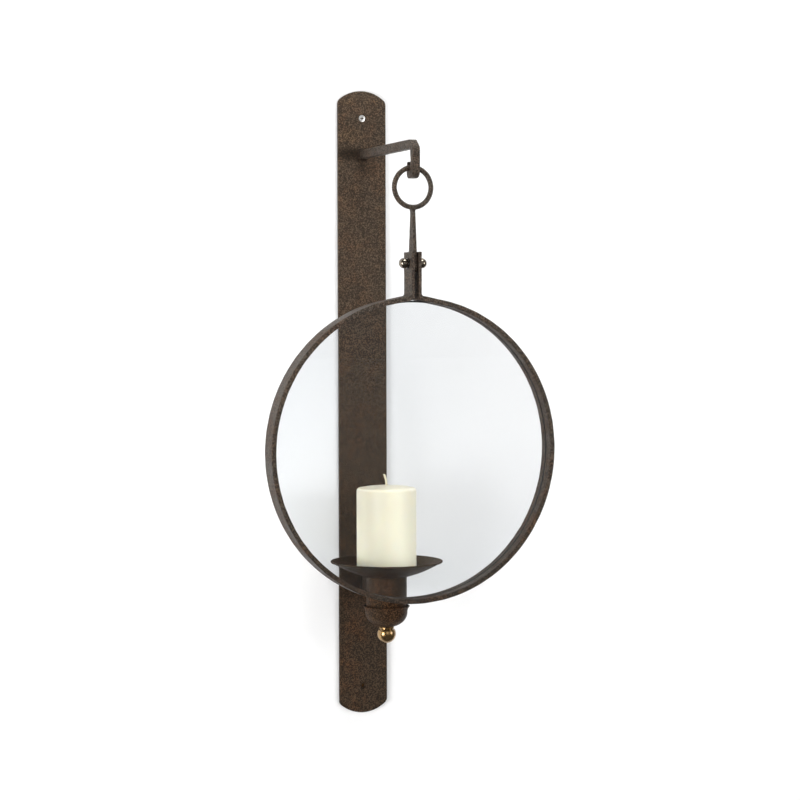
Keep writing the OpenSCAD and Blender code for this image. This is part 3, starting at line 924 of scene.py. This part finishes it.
def ear_loops():
    """Cross-sections down the right-hand ear and round its foot, from the top."""
    gap = EAR_GAP / 2
    foot_x = EAR_X + EAR_FILLET
    foot_z = end_height(foot_x)
    fillet_top = foot_z + EAR_FILLET
    inner_foot = end_height(gap, HOOP_T)
    loops = []
    for a in (90, 60, 30, 0):
        lower = HOOP_EDGE * (1 - math.sin(math.radians(a)))
        inset = HOOP_EDGE * 0.9 * (1 - math.cos(math.radians(a)))
        z = EAR_TOP - lower
        loops.append(hoop_loop((EAR_X, z), (gap, z), inset=inset))
    for k in range(1, 15):
        z = EAR_TOP - HOOP_EDGE + (fillet_top - EAR_TOP + HOOP_EDGE) * k / 14
        loops.append(hoop_loop((EAR_X, z), (gap, z)))
    outer = arc(foot_x, fillet_top, EAR_FILLET, 180, 270, 6)
    for k, point in enumerate(outer[1:], 1):
        z = fillet_top + (inner_foot - fillet_top) * k / 6
        groove = (0, NO_GROOVE) if k == 6 else None
        loops.append(hoop_loop(point, (gap, z), groove))
    start = math.degrees(math.atan2(foot_z - HOOP_Z, foot_x))
    inner_start = math.degrees(math.atan2(inner_foot - HOOP_Z, gap))
    return loops, start, inner_start


def build_hoop():
    ear, start, inner_start = ear_loops()
    count = 300
    span = 2 * start + 180
    loops = list(ear)
    for k in range(1, count):
        angle = start - span * k / count
        from_end = min(k, count - k)
        lead = (inner_start - start) * max(0.0, 1 - from_end / 6)
        inner_angle = angle + (lead if k < count / 2 else -lead)
        inner = Vector(hoop_point(inner_angle, HOOP_T))
        out = (inner - Vector((0, HOOP_Z))).normalized()
        deep = (gasket_hi.x - hoop_radius(inner_angle, HOOP_T)) / GROOVE_DEPTH
        loops.append(hoop_loop(hoop_point(angle), inner, out * max(NO_GROOVE, deep)))
    for loop in reversed(ear):
        loops.append([(-x, y, z) for x, y, z in loop])
    hoop = make_mesh("hoop_flat_bar", *loft(loops))
    hammer(hoop, 0.22, 11, 8)
    carve(hoop, [pin_bore(2 * EAR_X)])
    finish_piece(hoop, hoop_iron, "screen", ["hoop"])


def on_glass(x, y, h):
    return (x, GLASS_Y + h, HOOP_Z + y)


def build_glass():
    """A disc with arrised edges."""
    half, arris = GLASS_T / 2, 0.45
    outline = [
        (0, -half), (GLASS_R * 0.5, -half), (GLASS_R - arris, -half), (GLASS_R, -half + arris),
        (GLASS_R, half - arris), (GLASS_R - arris, half), (GLASS_R * 0.5, half), (0, half),
    ]
    disc = make_mesh("glass_pane", *lathe(outline, on_glass, 256, closed=False))
    finish_piece(disc, glass, "screen", ["glass_disc"], sharp=20)
    disc.visible_shadow = False


def build_gasket():
    """A rubber channel that wraps the glass's edge in the hoop's groove."""
    half = (gasket_hi.y - gasket_lo.y) / 2
    outer = gasket_hi.x
    pane = GLASS_T / 2 + 0.02
    pane_r = GLASS_R + 0.02
    outline = rounded([
        (outer, -half, 0.2), (outer, half, 0.2), (HOOP_IN_R, half, 0.3), (HOOP_IN_R, pane, 0.2),
        (pane_r, pane, 0), (pane_r, -pane, 0), (HOOP_IN_R, -pane, 0.2), (HOOP_IN_R, -half, 0.3),
    ], 3)
    gasket = make_mesh("glass_channel_gasket", *lathe(outline, on_glass, 256))
    finish_piece(gasket, gasket_rubber, "screen", ["glass_gasket"])


def build_pin():
    """A plain pin with chamfered, threaded ends inside the nuts."""
    end, chamfer, pitch = pin_hi.x, 0.5, 0.8
    half = [(0, end), (PIN_R - chamfer, end)]
    x = end - chamfer
    while x > EAR_X:
        half += [(PIN_R, x), (PIN_R - 0.18, x - pitch * 0.45), (PIN_R, x - pitch * 0.9)]
        x -= pitch
    outline = half + [(r, -h) for r, h in reversed(half)]
    pin = make_mesh("pivot_pin_rod", *lathe(outline, along_pin(1), 40, closed=False))
    finish_piece(pin, rod_steel, "screen", ["pivot_pin"])


def build_nut(side, name, node):
    """A ball nut with a thin flange turned on its inner face."""
    flange_r = (nut_hi.z - nut_lo.z) / 2
    flange_t, ball_r = 1.4, 6.1
    ball_x = nut_hi.x - ball_r
    neck = flange_t + EAR_X
    start = math.degrees(math.acos(max(-1, (neck - ball_x) / ball_r)))
    bore_r, bore_end = PIN_R + RUNNING, pin_hi.x
    outline = [(bore_r, EAR_X)]
    outline += rounded([(bore_r, EAR_X, 0), (flange_r, EAR_X, 0.45), (flange_r, neck, 0.45),
                        (flange_r - 1.6, neck, 0)], 4, closed=False)[1:]
    neck_r = ball_r * math.sin(math.radians(start))
    outline += [(neck_r - 0.1, neck + 0.05), (neck_r + 0.05, neck + 0.3)]
    ball = [(ball_r * math.sin(math.radians(a)), ball_x + ball_r * math.cos(math.radians(a)))
            for a in (start - 5 - (start - 5) * k / 26 for k in range(27))]
    outline += ball
    outline += [(0, bore_end + 0.3), (bore_r, bore_end)]
    nut = make_mesh(name, *lathe(outline, along_pin(side), 64, closed=True))
    finish_piece(nut, nut_brass, "screen", [node], sharp=30)


build_hoop()
build_glass()
build_gasket()
build_pin()
build_nut(1, "ball_nut_right_turned", "ball_nut_right")
build_nut(-1, "ball_nut_left_turned", "ball_nut_left")

# ---------------------------------------- candle holder

PAN_R = pan_hi.x
PAN_RIM = pan_hi.z
PAN_FLOOR = pan_lo.z
PAN_T = 1.6
PAN_FLAT_R = 26.0
PAN_BOW = 1.8
PAN_LIP_R = 1.1
CUP_R = 25.5
CUP_T = 1.2
CUP_BOWL_H = 18.0
CUP_FLARE_R = 12.2
CUP_BEAD_R = 0.95
ROD_R = 3.0
ROD_HOLE_R = ROD_R + 0.2
TUBE_WALL = 1.8


def build_pan():
    """A spun sheet dish with a bead rolled round its rim."""
    side_w = PAN_R - PAN_LIP_R - PAN_FLAT_R
    rise = PAN_RIM - PAN_FLOOR - PAN_T

    def side_z(s):
        return PAN_FLOOR + rise * s - PAN_BOW * math.sin(math.pi * s)

    steps = 26
    middle = (ROD_HOLE_R, 12, PAN_FLAT_R - 3)
    side = [(PAN_FLAT_R + side_w * k / steps, side_z(k / steps)) for k in range(1, steps)]
    bead = arc(0, 0, PAN_LIP_R, -60, 150, 10)
    outline = [(r, PAN_FLOOR) for r in middle] + side
    outline += [(PAN_R - PAN_LIP_R + x, PAN_RIM - PAN_LIP_R + z) for x, z in bead]
    outline += [(r, z + PAN_T) for r, z in reversed(side)]
    outline += [(r, PAN_FLOOR + PAN_T) for r in reversed(middle)]
    pan = make_mesh("drip_pan_dish", *lathe(outline, on_candle, 160))
    hammer(pan, 0.15, 14, 9)
    finish_piece(pan, pan_iron, "bracket", ["drip_pan"])


def build_tube():
    outer = (tube_hi.x - tube_lo.x) / 2
    inner = outer - TUBE_WALL
    low, high = tube_lo.z, tube_hi.z
    ring = rounded([(inner, low, 0.4), (outer, low, 0.6), (outer, high, 0.3), (inner, high, 0.3)], 3)
    tube = make_mesh("candle_tube_wall", *lathe(ring, on_candle, 96))
    finish_piece(tube, tube_iron, "bracket", ["candle_tube"])


def bowl(r, h, a0, a1, steps=34):
    """One face of the cup's bowl: a quarter ellipse out from the rod's hole."""
    angles = [math.radians(a0 + (a1 - a0) * k / steps) for k in range(steps + 1)]
    reach, top = r - ROD_HOLE_R, cup_lo.z + CUP_BOWL_H
    return [(ROD_HOLE_R + reach * math.cos(a), top - h * math.sin(a)) for a in angles]


def build_cup():
    """A spun bowl whose rim flares out to a beaded lip."""
    lip_r, half_t = (cup_hi.x - cup_lo.x) / 2, CUP_T / 2
    flare_x, flare_z = CUP_R + CUP_FLARE_R - half_t, cup_lo.z + CUP_BOWL_H
    flare = math.degrees(math.acos((flare_x + CUP_BEAD_R - lip_r) / CUP_FLARE_R))
    bead = math.degrees(math.acos(half_t / CUP_BEAD_R))
    bead_x = flare_x - CUP_FLARE_R * math.cos(math.radians(flare))
    bead_z = flare_z + CUP_FLARE_R * math.sin(math.radians(flare))
    outline = bowl(CUP_R, CUP_BOWL_H, 90, 0)
    outline += arc(flare_x, flare_z, CUP_FLARE_R - half_t, 179, 184 - flare, 12)
    outline += arc(bead_x, bead_z, CUP_BEAD_R, -flare - bead, 180 - flare + bead, 16)
    outline += arc(flare_x, flare_z, CUP_FLARE_R + half_t, 184 - flare, 179, 12)
    outline += bowl(CUP_R - CUP_T, CUP_BOWL_H - CUP_T, 0, 90)
    cup = make_mesh("cup_bowl", *lathe(outline, on_candle, 120))
    hammer(cup, 0.15, 10, 10)
    finish_piece(cup, tube_iron, "bracket", ["cup"])


def build_rod():
    """A threaded rod with a domed head on the pan's floor."""
    head_z = PAN_FLOOR + PAN_T
    head_r, head_h = (rod_hi.x - rod_lo.x) / 2, rod_hi.z - head_z
    ball = (head_r**2 + head_h**2) / (2 * head_h)
    spread = math.degrees(math.asin(head_r / ball))
    outline = [(ball * math.sin(math.radians(a)), rod_hi.z - ball + ball * math.cos(math.radians(a)))
               for a in (spread * k / 10 for k in range(11))]
    outline += [(head_r - 0.3, head_z + 0.02), (ROD_R, head_z + 0.01)]
    z, pitch = head_z - 4.0, 1.0
    while z > rod_lo.z + pitch:
        outline += [(ROD_R, z), (ROD_R - 0.35, z - pitch * 0.5)]
        z -= pitch
    outline += [(ROD_R - 0.6, rod_lo.z), (0, rod_lo.z)]
    rod = make_mesh("tie_rod_threaded", *lathe(outline, on_candle, 48, closed=False))
    finish_piece(rod, rod_steel, "bracket", ["tie_rod"])


def build_finial():
    """The turned collar and the ball under the cup."""
    r = (collar_hi.x - collar_lo.x) / 2
    lo, hi = collar_lo.z, collar_hi.z
    bore = ROD_R + RUNNING
    outline = rounded([
        (bore, lo, 0), (r - 0.5, lo, 0.3), (r - 0.5, hi - 1.5, 0.2),
        (r, hi - 1.1, 0.4), (r, hi, 0.5), (bore, hi, 0),
    ], 4)
    collar = make_mesh("finial_collar_turned", *lathe(outline, on_candle, 80))
    finish_piece(collar, finial_brass, "bracket", ["finial_collar"], sharp=30)
    ball_r = (ball_hi.x - ball_lo.x) / 2
    centre = ball_lo.z + ball_r
    top = ball_hi.z
    start = math.degrees(math.acos((top - centre) / ball_r))
    outline = [(bore, top), (ball_r * math.sin(math.radians(start)) - 0.5, top)]
    outline += [(ball_r * math.sin(math.radians(a)), centre + ball_r * math.cos(math.radians(a)))
                for a in (start + 2 + (178 - start) * k / 44 for k in range(45))]
    outline += [(0, centre - 4), (bore, centre - 4)]
    ball = make_mesh("ball_finial_turned", *lathe(outline, on_candle, 96, closed=True))
    finish_piece(ball, finial_brass, "bracket", ["ball_finial"], sharp=30)


build_pan()
build_tube()
build_cup()
build_rod()
build_finial()

# ---------------------------------------- candle and wick

CANDLE_R = (candle_hi.x - candle_lo.x) / 2
CANDLE_EDGE = 4.0
CANDLE_CROWN = 3.0
CANDLE_FOOT = 2.0
WICK_HOLE = 1.5
WICK_SUNK = 20


def build_candle():
    """A poured pillar with a softened edge, a low crown and a well for its wick."""
    edge_z = candle_hi.z - CANDLE_CROWN
    flat = CANDLE_R - CANDLE_EDGE
    low = candle_lo.z
    outline = [(0, low + 0.6), (flat * 0.6, low + 0.5), (CANDLE_R - CANDLE_FOOT - 2, low)]
    outline += arc(CANDLE_R - CANDLE_FOOT, low + CANDLE_FOOT, CANDLE_FOOT, -90, 0, 6)
    wall_top = edge_z - CANDLE_EDGE
    outline += [(CANDLE_R, low + CANDLE_FOOT + (wall_top - low - CANDLE_FOOT) * k / 30) for k in range(1, 30)]
    outline += arc(CANDLE_R - CANDLE_EDGE, wall_top, CANDLE_EDGE, 0, 84, 8)
    for k in range(1, 15):
        r = flat * (1 - k / 15) + 3.0 * k / 15
        outline.append((r, edge_z + CANDLE_CROWN * (1 - (r / flat) ** 2)))
    outline += [(WICK_HOLE + 0.5, edge_z + CANDLE_CROWN - 0.25), (WICK_HOLE, edge_z + CANDLE_CROWN - 0.8)]
    outline += [(WICK_HOLE, edge_z - WICK_SUNK), (0, edge_z - WICK_SUNK)]
    pillar = make_mesh("candle_pillar", *lathe(outline, on_candle, 144, closed=False))
    hammer(pillar, 0.12, 22, 12)
    finish_piece(pillar, wax, "pillar", ["candle"], sharp=50)


def build_wick():
    """Three cotton strands plaited together, leaning a little at the tip."""
    low, high = wick_lo.z, wick_hi.z
    strand_r, orbit, pitch, per = 0.78, 0.68, 7.0, 10
    count = 90
    verts, faces = [], []
    bend_from = candle_hi.z
    for strand in range(3):
        loops = []
        for k in range(count + 1):
            z = low + (high - low - 0.5) * k / count
            a = 2 * math.pi * ((z - low) / pitch + strand / 3)
            above = max(0.0, (z - bend_from) / (high - bend_from))
            lean = -1.2 * above - 3.4 * max(0.0, above - 0.45)
            centre = Vector((lean + orbit * math.cos(a), CANDLE_Y + orbit * math.sin(a), z))
            r = strand_r * (0.55 if k in (0, count) else 1.0)
            loops.append([tuple(centre + Vector((x, y, 0))) for x, y in circle(r, per)])
        v, f = loft(loops)
        faces += [tuple(i + len(verts) for i in face) for face in f]
        verts += v
    wick = make_mesh("wick_plait", verts, faces)
    finish_piece(wick, wick_cotton, "pillar", ["wick"], sharp=60)


build_candle()
build_wick()

# ---------------------------------------- stage, light and camera


def stage_paint(name, colour, one_sided):
    """Matt paint. With one_sided, the surface shows only from its front."""
    p = Paint(name)
    grain = p.noise(14.0, 2.0, 0.5)
    tone = p.mix(p.ramp(grain, 0.3, 0.7), colour, tuple(c * 0.995 for c in colour))
    p.set(Base_Color=tone, Roughness=0.9, Specular_IOR_Level=0.1)
    if one_sided:
        tree = p.tree
        clear = tree.nodes.new("ShaderNodeBsdfTransparent")
        facing = tree.nodes.new("ShaderNodeNewGeometry")
        choose = tree.nodes.new("ShaderNodeMixShader")
        tree.links.new(facing.outputs["Backfacing"], choose.inputs[0])
        tree.links.new(p.shader.outputs["BSDF"], choose.inputs[1])
        tree.links.new(clear.outputs["BSDF"], choose.inputs[2])
        tree.links.new(choose.outputs["Shader"], p.output.inputs["Surface"])
    return p.material


def stage_quad(name, corners, material):
    mesh = bpy.data.meshes.new(name)
    mesh.from_pydata([Vector(c) for c in corners], [], [(0, 1, 2, 3)])
    mesh.materials.append(material)
    obj = bpy.data.objects.new(name, mesh)
    bpy.context.scene.collection.objects.link(obj)
    return obj


# Painted shadow: a dark disc behind the plate's empty lower hole, standing in for the shaded wall seen
# through it.
SHADOW_DISC_R = 3.6
SHADOW_DISC_Y = 0.3
SHADOW_DISC_SIDES = 32
shadow_disc_edge = arc(0, -HOLE_Z, SHADOW_DISC_R, 0, 360, SHADOW_DISC_SIDES)[:-1]
hole_shadow_disc = make_mesh("hole_shadow_sheet", rising(shadow_disc_edge, SHADOW_DISC_Y), [tuple(range(SHADOW_DISC_SIDES))])
hole_shadow_disc.data.materials.append(stage_paint("hole_shadow_paint", (0.09, 0.05, 0.022), False))

# The stage, lights and camera are placed in metres.
FLOOR_Z = -0.62
FLOOR_HALF = 40.0
WALL_Y = 0.0006
WALL_HALF, WALL_TOP = 2.6, 1.8
wall = stage_quad(
    "wall_backdrop",
    [(x, WALL_Y, z) for x, z in (
        (-WALL_HALF, FLOOR_Z), (WALL_HALF, FLOOR_Z), (WALL_HALF, WALL_TOP), (-WALL_HALF, WALL_TOP),
    )],
    stage_paint("wall_paint", (0.95, 0.95, 0.95), True),
)
floor = stage_quad(
    "floor",
    [(x * FLOOR_HALF, y * FLOOR_HALF, FLOOR_Z) for x, y in ((-1, -1), (1, -1), (1, 1), (-1, 1))],
    stage_paint("floor_paint", (0.86, 0.86, 0.86), False),
)
floor.visible_glossy = False


def area_light(name, place, target, size, power, colour=(1, 1, 1)):
    data = bpy.data.lights.new(name, "AREA")
    data.shape, data.size, data.size_y = "RECTANGLE", size[0], size[1]
    data.energy, data.color = power, colour
    lamp = bpy.data.objects.new(name, data)
    lamp.location = place
    lamp.rotation_mode = "QUATERNION"
    lamp.rotation_quaternion = (Vector(target) - Vector(place)).to_track_quat("-Z", "Y")
    bpy.context.scene.collection.objects.link(lamp)


area_light("right_soft", (1.6, -1.9, 0.2), (0.0, 0.0, 0.0), (1.0, 1.0), 17)
area_light("front_soft", (-0.4, -3.0, 0.5), (0.0, 0.0, 0.0), (1.6, 1.6), 6.5)
area_light("top_soft", (0.1, -0.9, 1.95), (0.0, 0.0, 0.1), (1.2, 0.7), 32)
area_light("left_soft", (-2.05, -1.1, -0.25), (0.0, 0.0, -0.1), (0.9, 1.2), 41)

world = bpy.data.worlds.new("studio")
world.use_nodes = True
background = world.node_tree.nodes["Background"]
background.inputs["Color"].default_value = (1.0, 0.99, 0.97, 1.0)
background.inputs["Strength"].default_value = 0.12
bpy.context.scene.world = world
bpy.context.scene.view_settings.view_transform = "Standard"

CAMERA_PLACE = Vector((-0.9256, -2.3600, 0.0960))
CAMERA_AZIMUTH, CAMERA_PITCH, CAMERA_ROLL = 22.491, 2.079, -0.134
CAMERA_LENS = 91.87
a, e, roll = (math.radians(v) for v in (CAMERA_AZIMUTH, CAMERA_PITCH, CAMERA_ROLL))
ahead = Vector((math.sin(a) * math.cos(e), math.cos(a) * math.cos(e), -math.sin(e)))
level = Vector((math.cos(a), -math.sin(a), 0))
rise = level.cross(ahead)
right = level * math.cos(roll) + rise * math.sin(roll)
up = rise * math.cos(roll) - level * math.sin(roll)

camera_data = bpy.data.cameras.new("camera")
camera_data.sensor_width = 36.0
camera_data.lens = CAMERA_LENS
camera_data.clip_start, camera_data.clip_end = 0.05, 30.0
camera = bpy.data.objects.new("camera", camera_data)
camera.matrix_world = Matrix.Translation(CAMERA_PLACE) @ Matrix((right, up, -ahead)).transposed().to_4x4()
bpy.context.scene.collection.objects.link(camera)
bpy.context.scene.camera = camera
